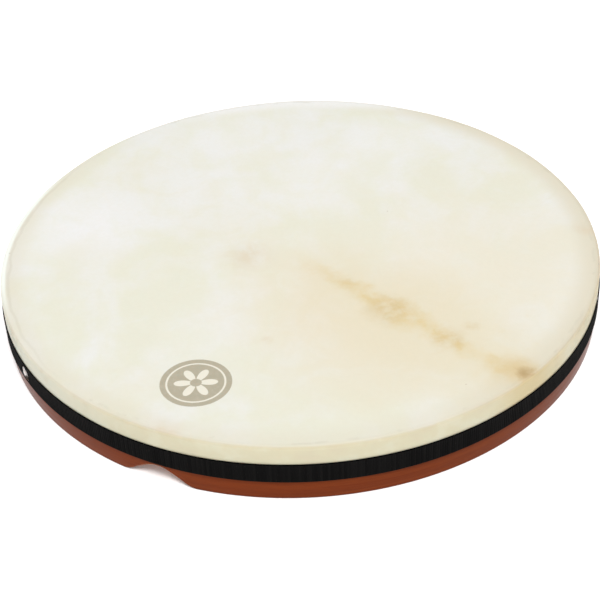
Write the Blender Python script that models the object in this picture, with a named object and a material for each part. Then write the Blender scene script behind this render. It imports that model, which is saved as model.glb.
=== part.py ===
"""Single-headed frame drum, 22 inch class: a laminated wooden hoop with a hand notch, a goatskin head tacked
over its upper edge, a ribbon that covers the tacks, and a countersunk vent bored through the wall.

Metres, +Z up. The drum stands on its open rim. The origin is the centre of the rim's plane, so z = 0 is the
resting face and the head is on top. The player's notch faces the -Y side, turned a little towards -X.
"""

import math

import bmesh
import bpy
from mathutils import Matrix, Vector

MM = 0.001

# Driving dimensions
DRUM_HEIGHT = 57.0 * MM
RIBBON_OUTER_RADIUS = 280.2 * MM
RIBBON_THICKNESS = 0.6 * MM
RIBBON_BOTTOM = 19.5 * MM
RIBBON_WIDTH = 20.0 * MM
SKIN_THICKNESS = 0.9 * MM
SKIN_OUTER_RADIUS = 279.1 * MM
SKIN_EDGE_ROUND = 3.0 * MM
SKIN_SKIRT_BOTTOM = 20.2 * MM
FIT_GAP = 0.3 * MM

PLY_COUNT = 3
PLY_THICKNESS = 2.4 * MM
GLUE_GAP = 0.1 * MM
RIM_CHAMFER = 0.8 * MM
SCARF_SLANT = math.radians(7.0)
SCARF_HALF_LENGTH = 20.0 * MM
SCARF_GAP = 0.15 * MM
SCARF_AZIMUTHS = (math.radians(79.95), math.radians(-40.05), math.radians(-175.05))

NOTCH_AZIMUTH = math.radians(-116.9)
NOTCH_HALF_WIDTH = 36.0 * MM
NOTCH_HEIGHT = 14.2 * MM
NOTCH_STEPS = 18

VENT_AZIMUTH = math.radians(-151.3)
VENT_HEIGHT = 27.8 * MM
VENT_BORE_RADIUS = 5.8 * MM
VENT_MOUTH_RADIUS = 6.6 * MM
VENT_MOUTH_DEPTH = 2.0 * MM
VENT_SIDES = 24

TACK_COUNT = 32
TACK_HEIGHT = 29.5 * MM
TACK_HEAD_RADIUS = 2.8 * MM
TACK_HEAD_THICKNESS = 0.35 * MM
TACK_SHANK_RADIUS = 0.6 * MM
TACK_HOLE_RADIUS = 0.95 * MM
TACK_TIP_LENGTH = 1.6 * MM
TACK_SIDES = 6

# Every ring has the same facets, and the vent and each tack sit in the middle of one.
RING_FACETS = 96
FACET_ANGLE = 2.0 * math.pi / RING_FACETS
FACETS_PER_TACK = RING_FACETS // TACK_COUNT
FIRST_TACK_FACET = 2
RING_START = VENT_AZIMUTH + FACET_ANGLE / 2.0
FACET_FLATNESS = math.cos(FACET_ANGLE / 2.0)

# Derived places
SKIN_INNER_RADIUS = SKIN_OUTER_RADIUS - SKIN_THICKNESS
HOOP_OUTER_RADIUS = SKIN_INNER_RADIUS - FIT_GAP
HOOP_THICKNESS = PLY_COUNT * PLY_THICKNESS + (PLY_COUNT - 1) * GLUE_GAP
HOOP_INNER_RADIUS = HOOP_OUTER_RADIUS - HOOP_THICKNESS
HOOP_TOP = DRUM_HEIGHT - SKIN_THICKNESS - FIT_GAP
HOOP_EDGE_ROUND = SKIN_EDGE_ROUND - SKIN_THICKNESS - FIT_GAP
RIBBON_INNER_RADIUS = RIBBON_OUTER_RADIUS - RIBBON_THICKNESS
RIBBON_LAP = math.radians(3.0)
RIBBON_LAP_GAP = 0.2 * MM
RIBBON_SEAM_AZIMUTH = math.radians(62.0)

COLOURS = {
    "hoop_wood": ((0.30, 0.075, 0.028, 1.0), 0.35, 0.0),
    "goatskin": ((0.84, 0.79, 0.66, 1.0), 0.55, 0.0),
    "ribbon": ((0.012, 0.012, 0.013, 1.0), 0.8, 0.0),
    "tack_steel": ((0.35, 0.34, 0.33, 1.0), 0.45, 1.0),
}


def clear_scene():
    for obj in list(bpy.data.objects):
        bpy.data.objects.remove(obj, do_unlink=True)


def make_material(name):
    colour, roughness, metallic = COLOURS[name]
    material = bpy.data.materials.new(name)
    material.use_nodes = True
    shader = material.node_tree.nodes["Principled BSDF"]
    shader.inputs["Base Color"].default_value = colour
    shader.inputs["Roughness"].default_value = roughness
    shader.inputs["Metallic"].default_value = metallic
    return material


def add_object(name, mesh, material=None):
    obj = bpy.data.objects.new(name, mesh)
    bpy.context.scene.collection.objects.link(obj)
    if material is not None:
        mesh.materials.append(material)
        mesh.shade_smooth()
        mesh.set_sharp_from_angle(angle=math.radians(30.0))
    return obj


def as_cutter(obj):
    obj.hide_render = True
    obj.display_type = "WIRE"
    return obj


def cut(obj, cutter):
    modifier = obj.modifiers.new("cut_" + cutter.name, "BOOLEAN")
    modifier.operation = "DIFFERENCE"
    modifier.solver = "EXACT"
    modifier.object = cutter


def spin_profile(name, profile, closed):
    """Turns (radius, height) points once round Z. A profile that isn't closed starts and ends on the axis."""
    bm = bmesh.new()
    verts = [bm.verts.new((r, 0.0, z)) for r, z in profile]
    edges = [bm.edges.new(pair) for pair in zip(verts, verts[1:])]
    if closed:
        edges.append(bm.edges.new((verts[-1], verts[0])))
    bmesh.ops.rotate(bm, verts=verts, cent=(0, 0, 0), matrix=Matrix.Rotation(RING_START, 3, "Z"))
    bmesh.ops.spin(
        bm,
        geom=verts + edges,
        cent=(0, 0, 0),
        axis=(0, 0, 1),
        angle=2.0 * math.pi,
        steps=RING_FACETS,
        use_merge=True,
    )
    bmesh.ops.remove_doubles(bm, verts=bm.verts, dist=1e-6)
    bmesh.ops.recalc_face_normals(bm, faces=bm.faces)
    mesh = bpy.data.meshes.new(name)
    bm.to_mesh(mesh)
    bm.free()
    return mesh


def extrude_outline(name, outline, depth):
    """A prism: the outline lies in the YZ plane at x = 0 and is pushed along +X by depth."""
    bm = bmesh.new()
    face = bm.faces.new([bm.verts.new((0.0, y, z)) for y, z in outline])
    made = bmesh.ops.extrude_face_region(bm, geom=[face])
    pushed = [v for v in made["geom"] if isinstance(v, bmesh.types.BMVert)]
    bmesh.ops.translate(bm, verts=pushed, vec=(depth, 0, 0))
    bmesh.ops.recalc_face_normals(bm, faces=bm.faces)
    mesh = bpy.data.meshes.new(name)
    bm.to_mesh(mesh)
    bm.free()
    return mesh


def place_on_wall(obj, azimuth, radius, height):
    """Puts an object that was built along +X on the drum's wall, its +X pointing outwards."""
    obj.location = (radius * math.cos(azimuth), radius * math.sin(azimuth), height)
    obj.rotation_euler = (0.0, 0.0, azimuth)
    return obj


def polygon_ring(radius, sides):
    """Corners of a regular polygon in the YZ plane."""
    return [
        (radius * math.cos(2.0 * math.pi * k / sides), radius * math.sin(2.0 * math.pi * k / sides))
        for k in range(sides)
    ]


def hoop_top_at(radius):
    """Height of the hoop's upper edge: flat inside, rounded over towards the outer face."""
    into_round = max(0.0, radius - (HOOP_OUTER_RADIUS - HOOP_EDGE_ROUND))
    return HOOP_TOP - HOOP_EDGE_ROUND + math.sqrt(max(0.0, HOOP_EDGE_ROUND**2 - into_round**2))


def ply_profile(index):
    """Closed cross-section of one ply. Ply 0 is the outer one."""
    outer = HOOP_OUTER_RADIUS - index * (PLY_THICKNESS + GLUE_GAP)
    inner = outer - PLY_THICKNESS
    inner_chamfer = RIM_CHAMFER if index == PLY_COUNT - 1 else 0.0
    outer_chamfer = RIM_CHAMFER if index == 0 else 0.0
    points = [(outer - outer_chamfer, 0.0)]
    if outer_chamfer:
        points.append((outer, outer_chamfer))
    top_steps = 4 if outer > HOOP_OUTER_RADIUS - HOOP_EDGE_ROUND else 1
    for step in range(top_steps):
        radius = outer - (outer - inner - inner_chamfer) * (step / top_steps) ** 1.5
        points.append((radius, hoop_top_at(radius)))
    points.append((inner + inner_chamfer, hoop_top_at(inner + inner_chamfer)))
    if inner_chamfer:
        points.append((inner, HOOP_TOP - inner_chamfer))
        points.append((inner, inner_chamfer))
    points.append((inner + inner_chamfer, 0.0))
    return points


def notch_cutter():
    """A bell-shaped prism that takes the hand notch out of the open rim."""
    below = -5.0 * MM
    outline = [(NOTCH_HALF_WIDTH, below), (-NOTCH_HALF_WIDTH, below)]
    for step in range(NOTCH_STEPS + 1):
        share = 2.0 * step / NOTCH_STEPS - 1.0
        height = NOTCH_HEIGHT * math.cos(0.5 * math.pi * share) ** 2
        outline.append((NOTCH_HALF_WIDTH * share, height - 0.01 * MM))
    reach = 15.0 * MM
    mesh = extrude_outline("notch_cutter", outline, HOOP_THICKNESS + 2.0 * reach)
    return as_cutter(place_on_wall(add_object("notch_cutter", mesh), NOTCH_AZIMUTH, HOOP_INNER_RADIUS - reach, 0.0))


def scarf_cutter(index):
    """A thin slanted slab: it parts one ply where its two feathered ends meet."""
    middle = HOOP_OUTER_RADIUS - index * (PLY_THICKNESS + GLUE_GAP) - PLY_THICKNESS / 2.0
    bm = bmesh.new()
    size = Vector((SCARF_GAP, 2.0 * SCARF_HALF_LENGTH, 2.0 * DRUM_HEIGHT))
    bmesh.ops.create_cube(bm, size=1.0, matrix=Matrix.Diagonal(size.to_4d()))
    bmesh.ops.rotate(bm, verts=bm.verts, cent=(0, 0, 0), matrix=Matrix.Rotation(-SCARF_SLANT, 3, "Z"))
    name = f"scarf_cutter_{index + 1}"
    mesh = bpy.data.meshes.new(name)
    bm.to_mesh(mesh)
    bm.free()
    return as_cutter(place_on_wall(add_object(name, mesh), SCARF_AZIMUTHS[index], middle, DRUM_HEIGHT / 2.0))


def vent_cutter():
    """A round bore through the wall, its outer mouth widened by a countersink."""
    reach = 12.0 * MM
    skin_face = SKIN_OUTER_RADIUS * FACET_FLATNESS
    rings = (
        (HOOP_INNER_RADIUS - reach, VENT_BORE_RADIUS),
        (skin_face - VENT_MOUTH_DEPTH, VENT_BORE_RADIUS),
        (skin_face, VENT_MOUTH_RADIUS),
        (RIBBON_OUTER_RADIUS + reach, VENT_MOUTH_RADIUS),
    )
    bm = bmesh.new()
    rows = [[bm.verts.new((x, y, z)) for y, z in polygon_ring(r, VENT_SIDES)] for x, r in rings]
    for near, far in zip(rows, rows[1:]):
        for k in range(VENT_SIDES):
            after = (k + 1) % VENT_SIDES
            bm.faces.new((near[k], far[k], far[after], near[after]))
    bm.faces.new(rows[0])
    bm.faces.new(rows[-1])
    bmesh.ops.recalc_face_normals(bm, faces=bm.faces)
    mesh = bpy.data.meshes.new("vent_cutter")
    bm.to_mesh(mesh)
    bm.free()
    return as_cutter(place_on_wall(add_object("vent_cutter", mesh), VENT_AZIMUTH, 0.0, VENT_HEIGHT))


def tack_azimuth(number):
    return VENT_AZIMUTH + (FIRST_TACK_FACET + FACETS_PER_TACK * number) * FACET_ANGLE


def tack_inner_end():
    """Radius at the bottom of the tack holes: in the glue gap behind the middle ply."""
    return HOOP_OUTER_RADIUS - 2.0 * PLY_THICKNESS - 1.5 * GLUE_GAP


def tack_hole_cutter():
    """All the tack holes in one helper mesh."""
    bm = bmesh.new()
    depth = SKIN_OUTER_RADIUS + 2.0 * MM - tack_inner_end()
    for number in range(TACK_COUNT):
        prism = extrude_outline("hole", polygon_ring(TACK_HOLE_RADIUS, TACK_SIDES), depth)
        place = Matrix.Rotation(tack_azimuth(number), 4, "Z") @ Matrix.Translation(
            (tack_inner_end() * FACET_FLATNESS, 0.0, TACK_HEIGHT)
        )
        prism.transform(place)
        bm.from_mesh(prism)
        bpy.data.meshes.remove(prism)
    mesh = bpy.data.meshes.new("tack_hole_cutter")
    bm.to_mesh(mesh)
    bm.free()
    return as_cutter(add_object("tack_hole_cutter", mesh))


def build_plies(material, notch, vent, tack_holes):
    for index, name in enumerate(("hoop_outer_ply", "hoop_middle_ply", "hoop_inner_ply")):
        ply = add_object(name, spin_profile(name, ply_profile(index), closed=True), material)
        cut(ply, scarf_cutter(index))
        cut(ply, notch)
        cut(ply, vent)
        if index < 2:
            cut(ply, tack_holes)


def build_skin(material, vent, tack_holes):
    """The head: a flat membrane that turns over the hoop's edge and runs down its outer face as a skirt."""
    steps = 5
    bend = SKIN_OUTER_RADIUS - SKIN_EDGE_ROUND
    inner_round = SKIN_EDGE_ROUND - SKIN_THICKNESS
    profile = [(0.0, DRUM_HEIGHT)]
    for step in range(steps + 1):
        angle = 0.5 * math.pi * (1.0 - step / steps)
        z = DRUM_HEIGHT - SKIN_EDGE_ROUND + SKIN_EDGE_ROUND * math.sin(angle)
        profile.append((bend + SKIN_EDGE_ROUND * math.cos(angle), z))
    profile.append((SKIN_OUTER_RADIUS, SKIN_SKIRT_BOTTOM))
    profile.append((SKIN_INNER_RADIUS, SKIN_SKIRT_BOTTOM))
    for step in range(steps + 1):
        angle = 0.5 * math.pi * step / steps
        z = DRUM_HEIGHT - SKIN_EDGE_ROUND + inner_round * math.sin(angle)
        profile.append((bend + inner_round * math.cos(angle), z))
    profile.append((0.0, DRUM_HEIGHT - SKIN_THICKNESS))
    skin = add_object("goatskin_head", spin_profile("goatskin_head", profile, closed=False), material)
    cut(skin, vent)
    cut(skin, tack_holes)


def ribbon_radius(turned):
    """Inner radius of the ribbon after it has turned by this angle: its end climbs over its beginning."""
    climb = (turned - 2.0 * math.pi + RIBBON_LAP) / RIBBON_LAP
    share = min(1.0, max(0.0, climb))
    smooth = share * share * (3.0 - 2.0 * share)
    return RIBBON_INNER_RADIUS + (RIBBON_THICKNESS + RIBBON_LAP_GAP) * smooth


def build_ribbon(material, vent):
    """One strip wound once round the skirt, its end lapped over its beginning at the back."""
    bm = bmesh.new()
    first = math.ceil((RIBBON_SEAM_AZIMUTH - RING_START) / FACET_ANGLE)
    start = RING_START + first * FACET_ANGLE
    angles = [k * FACET_ANGLE for k in range(RING_FACETS)]
    lap_steps = 4
    angles = angles[:-1] + [
        2.0 * math.pi - RIBBON_LAP + RIBBON_LAP * k / lap_steps for k in range(2 * lap_steps + 1)
    ]
    rows = []
    for turned in angles:
        low = ribbon_radius(turned)
        high = low + RIBBON_THICKNESS
        corner = [
            (low, RIBBON_BOTTOM),
            (high, RIBBON_BOTTOM),
            (high, RIBBON_BOTTOM + RIBBON_WIDTH),
            (low, RIBBON_BOTTOM + RIBBON_WIDTH),
        ]
        direction = start + turned
        rows.append([bm.verts.new((r * math.cos(direction), r * math.sin(direction), z)) for r, z in corner])
    for near, far in zip(rows, rows[1:]):
        for k in range(4):
            bm.faces.new((near[k], near[(k + 1) % 4], far[(k + 1) % 4], far[k]))
    bm.faces.new(rows[0])
    bm.faces.new(rows[-1])
    bmesh.ops.recalc_face_normals(bm, faces=bm.faces)
    mesh = bpy.data.meshes.new("ribbon_band")
    bm.to_mesh(mesh)
    bm.free()
    cut(add_object("ribbon_band", mesh, material), vent)


def tack_mesh():
    """A flat-headed tack along +X, its tip towards the drum's axis and its head's underside at x = 0."""
    tip = tack_inner_end() * FACET_FLATNESS - SKIN_OUTER_RADIUS * FACET_FLATNESS + 0.3 * MM
    rings = (
        (tip + TACK_TIP_LENGTH, TACK_SHANK_RADIUS),
        (0.0, TACK_SHANK_RADIUS),
        (0.0, TACK_HEAD_RADIUS),
        (TACK_HEAD_THICKNESS * 0.4, TACK_HEAD_RADIUS),
        (TACK_HEAD_THICKNESS, TACK_HEAD_RADIUS * 0.7),
    )
    bm = bmesh.new()
    point = bm.verts.new((tip, 0.0, 0.0))
    rows = [[bm.verts.new((x, y, z)) for y, z in polygon_ring(r, TACK_SIDES)] for x, r in rings]
    for k in range(TACK_SIDES):
        after = (k + 1) % TACK_SIDES
        bm.faces.new((point, rows[0][k], rows[0][after]))
        for near, far in zip(rows, rows[1:]):
            bm.faces.new((near[k], far[k], far[after], near[after]))
    bm.faces.new(rows[-1])
    bmesh.ops.recalc_face_normals(bm, faces=bm.faces)
    mesh = bpy.data.meshes.new("head_tack")
    bm.to_mesh(mesh)
    bm.free()
    return mesh


def build_tacks(material):
    """Flat-headed tacks through the skirt into the hoop, under the ribbon. They share one mesh."""
    mesh = tack_mesh()
    seat = SKIN_OUTER_RADIUS * FACET_FLATNESS + 0.05 * MM
    mesh.materials.append(material)
    for number in range(TACK_COUNT):
        tack = add_object(f"head_tack_{number + 1:02d}", mesh)
        place_on_wall(tack, tack_azimuth(number), seat, TACK_HEIGHT)


def main():
    clear_scene()
    materials = {name: make_material(name) for name in COLOURS}
    notch = notch_cutter()
    vent = vent_cutter()
    tack_holes = tack_hole_cutter()
    build_plies(materials["hoop_wood"], notch, vent, tack_holes)
    build_skin(materials["goatskin"], vent, tack_holes)
    build_ribbon(materials["ribbon"], vent)
    build_tacks(materials["tack_steel"])


main()
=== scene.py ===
"""The looks of a frame drum: a goatskin head tacked over a lacquered wooden hoop, with a ribbon round it.

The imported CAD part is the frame. Every piece here is built round it in the same metres: the drum's axis
is Z, it stands on z = 0 and the camera looks at it along +Y.
"""

import math

import bmesh
import bpy
import numpy as np
from mathutils import Matrix, Vector


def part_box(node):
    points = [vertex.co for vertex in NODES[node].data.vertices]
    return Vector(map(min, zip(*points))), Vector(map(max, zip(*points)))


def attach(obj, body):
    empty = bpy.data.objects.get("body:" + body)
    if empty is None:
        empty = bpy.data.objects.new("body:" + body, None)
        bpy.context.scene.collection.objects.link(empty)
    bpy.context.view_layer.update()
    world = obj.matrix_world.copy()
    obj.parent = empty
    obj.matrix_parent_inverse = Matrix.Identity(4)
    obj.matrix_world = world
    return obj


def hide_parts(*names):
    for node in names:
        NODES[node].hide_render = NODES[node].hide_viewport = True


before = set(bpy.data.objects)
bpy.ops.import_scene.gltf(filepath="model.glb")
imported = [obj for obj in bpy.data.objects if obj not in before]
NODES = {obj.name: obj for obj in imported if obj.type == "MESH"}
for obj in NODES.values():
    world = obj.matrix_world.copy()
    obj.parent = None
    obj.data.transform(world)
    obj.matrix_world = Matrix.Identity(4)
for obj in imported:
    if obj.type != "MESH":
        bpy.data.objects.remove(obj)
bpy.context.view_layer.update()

MM = 0.001
TURN = 2.0 * math.pi


def radius_of(node):
    """Outer radius of a CAD node that is a ring round Z."""
    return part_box(node)[1].x


# Places that the CAD part gives
SKIN_RADIUS = radius_of("goatskin_head")
SKIN_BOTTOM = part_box("goatskin_head")[0].z
HEAD_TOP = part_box("goatskin_head")[1].z
RIBBON_RADIUS = radius_of("ribbon_band")
RIBBON_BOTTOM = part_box("ribbon_band")[0].z
RIBBON_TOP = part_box("ribbon_band")[1].z
PLY_NODES = ("hoop_outer_ply", "hoop_middle_ply", "hoop_inner_ply")
PLY_RADII = [radius_of(node) for node in PLY_NODES]
PLY_PITCH = PLY_RADII[0] - PLY_RADII[1]
HOOP_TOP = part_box("hoop_inner_ply")[1].z

# Sizes that are the same as the CAD part's
SKIN_THICKNESS = 0.9 * MM
SKIN_EDGE_ROUND = 3.0 * MM
GLUE_GAP = 0.1 * MM
PLY_THICKNESS = PLY_PITCH - GLUE_GAP
HOOP_INNER = PLY_RADII[2] - PLY_THICKNESS
HOOP_EDGE_ROUND = SKIN_EDGE_ROUND - SKIN_THICKNESS - 0.3 * MM
PLY_JOINTS = (math.radians(79.95), math.radians(-40.05), math.radians(-175.05))
NOTCH_AZIMUTH = math.radians(-116.9)
NOTCH_HALF_WIDTH = 36.0 * MM
NOTCH_HEIGHT = 14.2 * MM
RIBBON_THICKNESS = 0.6 * MM
RIBBON_START = math.radians(64.325)
RIBBON_LAP = math.radians(3.0)
VENT_AZIMUTH = math.radians(-151.3)
VENT_HEIGHT = 27.8 * MM
VENT_BORE = 5.8 * MM
VENT_MOUTH = 6.6 * MM
VENT_MOUTH_DEPTH = 2.0 * MM
VENT_FRAME = Matrix.Translation((0, 0, VENT_HEIGHT)) @ Matrix.Rotation(VENT_AZIMUTH, 4, "Z")
TACK_COUNT = 32
FIRST_TACK = VENT_AZIMUTH + math.radians(7.5)

# Sizes of the finer shapes
RING_COLUMNS = 1440
SKIN_COLUMNS = 768
BORE_SIDES = 64
VENT_RING_SIDES = 72
RIM_ROUND = 1.1 * MM
NOTCH_ROUND = 3.6 * MM
JOINT_GROOVE = 0.18 * MM
LIP_THICKNESS = 0.45 * MM
RIB_COUNT = 817
RIB_HEIGHT = 0.28 * MM
COLUMNS_PER_RIB = 7
RIBBON_HOLE = VENT_MOUTH + 0.6 * MM
RIBBON_DIP = 3.6 * MM
DIP_AZIMUTH = math.radians(-165.0)
DIP_SPREAD = math.radians(8.0)
MELTED_BEAD = 0.25 * MM

# Places on the head, in millimetres from its middle
MARK_CENTRE = (-91.6, -192.9)
MARK_RADIUS = 30.5
STREAK_START = (8.0, -28.0)
STREAK_END = (190.0, -220.0)

# Share of the light that goes through the skin instead of coming back, and its colour
LIGHT_THROUGH_SKIN = 0.28
GLOW = (1.0, 0.50, 0.22, 1.0)

# The glow is orange, so what comes back from the surface is lifted most in blue
SKIN_LIFT = (1.295, 1.385, 1.45, 1.0)


# ---------------------------------------------------------------- meshes


def turn_faces_outward(mesh):
    """For a mesh of closed bodies."""
    whole = bmesh.new()
    whole.from_mesh(mesh)
    bmesh.ops.recalc_face_normals(whole, faces=whole.faces)
    whole.to_mesh(mesh)
    whole.free()


def make_object(name, verts, faces, material, sharp=35.0, closed=True):
    mesh = bpy.data.meshes.new(name)
    mesh.from_pydata(verts, [], faces)
    mesh.validate()
    if closed:
        turn_faces_outward(mesh)
    mesh.materials.append(material)
    mesh.shade_smooth()
    mesh.set_sharp_from_angle(angle=math.radians(sharp))
    obj = bpy.data.objects.new(name, mesh)
    bpy.context.scene.collection.objects.link(obj)
    return obj


def band_faces(rows, columns, closed_rows, closed_columns):
    """Quads between neighbouring points of a rows x columns grid of points."""
    i = np.arange(rows if closed_rows else rows - 1)[:, None]
    j = np.arange(columns if closed_columns else columns - 1)[None, :]
    next_i = (i + 1) % rows
    next_j = (j + 1) % columns
    quads = np.stack(
        [i * columns + j, next_i * columns + j, next_i * columns + next_j, i * columns + next_j], axis=-1
    )
    return quads.reshape(-1, 4).tolist()


def round_z(profiles, azimuths):
    """Turns each (radius, height) profile to its azimuth. Gives points as an array of rows of profiles."""
    profiles = np.asarray(profiles, float)
    azimuths = np.asarray(azimuths, float)[:, None]
    radius = profiles[..., 0]
    points = [radius * np.cos(azimuths), radius * np.sin(azimuths), profiles[..., 1]]
    return np.stack(points, axis=-1)


def closed_ring(name, profiles, azimuths, material):
    """A ring whose closed cross-section may change as it goes round."""
    points = round_z(profiles, azimuths)
    rows, columns = points.shape[:2]
    faces = band_faces(rows, columns, True, True)
    return make_object(name, points.reshape(-1, 3).tolist(), faces, material)


def wobble(angle, waves):
    """A smooth wave that closes on itself: waves holds (how many, size, phase)."""
    return sum(size * np.cos(count * angle + phase) for count, size, phase in waves)


def bore_cutter(rings):
    """A turned shape through the wall at the vent: rings holds (distance from the drum's axis, radius)."""
    angles = np.arange(BORE_SIDES) * TURN / BORE_SIDES
    points = [[(x, r * math.cos(a), r * math.sin(a)) for a in angles] for x, r in rings]
    verts = [point for ring in points for point in ring]
    faces = band_faces(len(rings), BORE_SIDES, False, True)
    last = (len(rings) - 1) * BORE_SIDES
    faces += [tuple(range(BORE_SIDES)), tuple(range(last, last + BORE_SIDES))]
    mesh = bpy.data.meshes.new("bore_cutter")
    mesh.from_pydata(verts, [], faces)
    turn_faces_outward(mesh)
    mesh.transform(VENT_FRAME)
    cutter = bpy.data.objects.new("bore_cutter", mesh)
    bpy.context.scene.collection.objects.link(cutter)
    return cutter


def cut_bore(obj, rings):
    """Cuts the vent's hole, and leaves a plain mesh."""
    cutter = bore_cutter(rings)
    modifier = obj.modifiers.new("bore", "BOOLEAN")
    modifier.operation = "DIFFERENCE"
    modifier.solver = "EXACT"
    modifier.object = cutter
    graph = bpy.context.evaluated_depsgraph_get()
    cut_mesh = bpy.data.meshes.new_from_object(obj.evaluated_get(graph), depsgraph=graph)
    obj.modifiers.clear()
    obj.data = cut_mesh
    obj.data.name = obj.name
    bpy.data.objects.remove(cutter)
    return obj


def wall_bore():
    """The bore through the hoop and skin, its mouth countersunk."""
    return (
        (HOOP_INNER - 15.0 * MM, VENT_BORE),
        (SKIN_RADIUS - VENT_MOUTH_DEPTH, VENT_BORE),
        (SKIN_RADIUS, VENT_MOUTH),
        (SKIN_RADIUS + 15.0 * MM, VENT_MOUTH),
    )


def ribbon_bore():
    """The ribbon's own hole, a little wider."""
    return ((SKIN_RADIUS - 5.0 * MM, RIBBON_HOLE), (SKIN_RADIUS + 15.0 * MM, RIBBON_HOLE))


def add_vent_ring(obj, section):
    """Joins a ring round the vent to a piece: section holds (distance from the drum's axis, radius)."""
    angles = np.arange(VENT_RING_SIDES)[:, None] * TURN / VENT_RING_SIDES
    out, radius = section[:, 0][None, :], section[:, 1][None, :]
    points = np.stack([out + 0.0 * angles, radius * np.cos(angles), radius * np.sin(angles)], axis=-1)
    faces = band_faces(VENT_RING_SIDES, len(section), True, True)
    mesh = bpy.data.meshes.new("vent_ring")
    mesh.from_pydata(points.reshape(-1, 3).tolist(), [], faces)
    mesh.shade_smooth()
    mesh.transform(VENT_FRAME)
    whole = bmesh.new()
    whole.from_mesh(obj.data)
    whole.from_mesh(mesh)
    bmesh.ops.recalc_face_normals(whole, faces=whole.faces)
    whole.to_mesh(obj.data)
    whole.free()
    bpy.data.meshes.remove(mesh)


def finish_piece(obj, slot, *nodes):
    """A finished piece rides with the drum and stands for these CAD nodes."""
    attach(obj, "root")
    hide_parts(*nodes)
    return obj


# ---------------------------------------------------------------- hoop


def notch_share(azimuth):
    """1 in the middle of the hand notch, 0 outside it, in a bell between."""
    along = (azimuth - NOTCH_AZIMUTH + math.pi) % TURN - math.pi
    share = np.clip(abs(along) * PLY_RADII[0] / NOTCH_HALF_WIDTH, 0.0, 1.0)
    return np.cos(0.5 * math.pi * share) ** 2


def corner_rise(distance, rounding):
    """How far a rounded edge has left the flat, at this distance in from the face."""
    left = np.clip(rounding - distance, 0.0, rounding)
    return rounding - np.sqrt(rounding**2 - left**2)


def hoop_bottom(radius, azimuth):
    share = notch_share(azimuth)
    rounding = RIM_ROUND + (NOTCH_ROUND - RIM_ROUND) * np.minimum(1.0, 2.5 * share)
    from_outside = corner_rise(PLY_RADII[0] - radius, rounding)
    from_inside = corner_rise(radius - HOOP_INNER, rounding)
    return NOTCH_HEIGHT * share + from_outside + from_inside


def hoop_top(radius):
    return HOOP_TOP - corner_rise(PLY_RADII[0] - radius, HOOP_EDGE_ROUND)


def ply_columns(joint):
    """Azimuths of the cross-sections: even ones, and a few close together over the ply's joint."""
    even = np.arange(RING_COLUMNS) * TURN / RING_COLUMNS - math.pi
    close = joint + np.array([-0.5, -0.25, 0.0, 0.25, 0.5]) * MM / PLY_RADII[0]
    wide = 0.6 * MM / PLY_RADII[0]
    return np.sort(np.concatenate([even[abs(even - joint) > wide], close]))


def ply_section(outer, inner, azimuth, joint):
    """One cross-section of a ply. Its points are close together where the rims are rounded."""
    spread = 0.5 - 0.5 * np.cos(np.linspace(0.0, math.pi, 9))
    radii = outer - (outer - inner) * spread
    bottom = np.stack([radii, hoop_bottom(radii, azimuth)], axis=-1)
    top = np.stack([radii[::-1], hoop_top(radii[::-1])], axis=-1)
    middle = 0.55 * bottom[0, 1] + 0.45 * top[-1, 1]
    section = np.concatenate([bottom, [[inner, middle]], top, [[outer, middle]]])
    at_joint = max(0.0, 1.0 - abs(azimuth - joint) * PLY_RADII[0] / (0.5 * MM))
    groove = JOINT_GROOVE * at_joint
    centre = 0.5 * (outer + inner)
    section[:, 0] += np.where(section[:, 0] > centre, -groove, groove)
    return section


def build_ply(index, material):
    outer = PLY_RADII[index]
    inner = outer - PLY_THICKNESS
    joint = PLY_JOINTS[index]
    columns = ply_columns(joint)
    sections = [ply_section(outer, inner, azimuth, joint) for azimuth in columns]
    name = ("hoop_ply_outer", "hoop_ply_middle", "hoop_ply_inner")[index]
    ply = cut_bore(closed_ring(name, sections, columns, material), wall_bore())
    finish_piece(ply, "hoop_wood", PLY_NODES[index])


# ---------------------------------------------------------------- head


def edge_rounding(azimuth):
    """The skin's outer rounding at the rim: hand-stretched, so it differs a little as it goes round."""
    waves = ((2, 0.4, 3.6), (5, 0.3, 1.0), (9, 0.25, 2.2), (17, 0.2, 0.6), (31, 0.12, 4.1))
    uneven = wobble(azimuth, waves)
    return SKIN_EDGE_ROUND + 0.2 * MM + 0.8 * MM * uneven


def skin_profile(rounding):
    """(radius, height) of the head from the middle of its top, over the edge, and back underneath."""
    bend_radius = SKIN_RADIUS - SKIN_EDGE_ROUND
    bend_height = HEAD_TOP - SKIN_EDGE_ROUND
    inner_round = SKIN_EDGE_ROUND - SKIN_THICKNESS
    centre_radius = SKIN_RADIUS - rounding
    centre_height = HEAD_TOP - rounding
    spread = np.linspace(0.0, 1.0, 34) ** 0.8
    over = [(math.cos(a), math.sin(a)) for a in np.radians(np.linspace(90.0, 0.0, 13))[1:]]
    skirt = np.linspace(centre_height, SKIN_BOTTOM, 12)[1:]
    top = [(r, HEAD_TOP) for r in centre_radius * spread]
    top += [(centre_radius + rounding * out, centre_height + rounding * up) for out, up in over]
    top += [(SKIN_RADIUS, z) for z in skirt]
    under = [(SKIN_RADIUS - SKIN_THICKNESS, z) for z in skirt[::-1]]
    under += [(bend_radius + inner_round * out, bend_height + inner_round * up) for out, up in over[::-1]]
    under += [(r, HEAD_TOP - SKIN_THICKNESS) for r in (bend_radius * spread)[::-1]]
    return np.array(top), np.array(under)


def skin_sag(radius, azimuth):
    """How far the membrane dips: it is taut, so only by a tenth of a millimetre or so."""
    reach = radius / SKIN_RADIUS
    shape = wobble(azimuth, ((2, 0.5, 0.7), (3, 0.4, 2.1), (5, 0.3, 4.0), (7, 0.2, 1.1)))
    return 0.05 * MM * reach**2 * (1.5 + shape) * np.clip((0.985 - reach) / 0.06, 0.0, 1.0)


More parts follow.
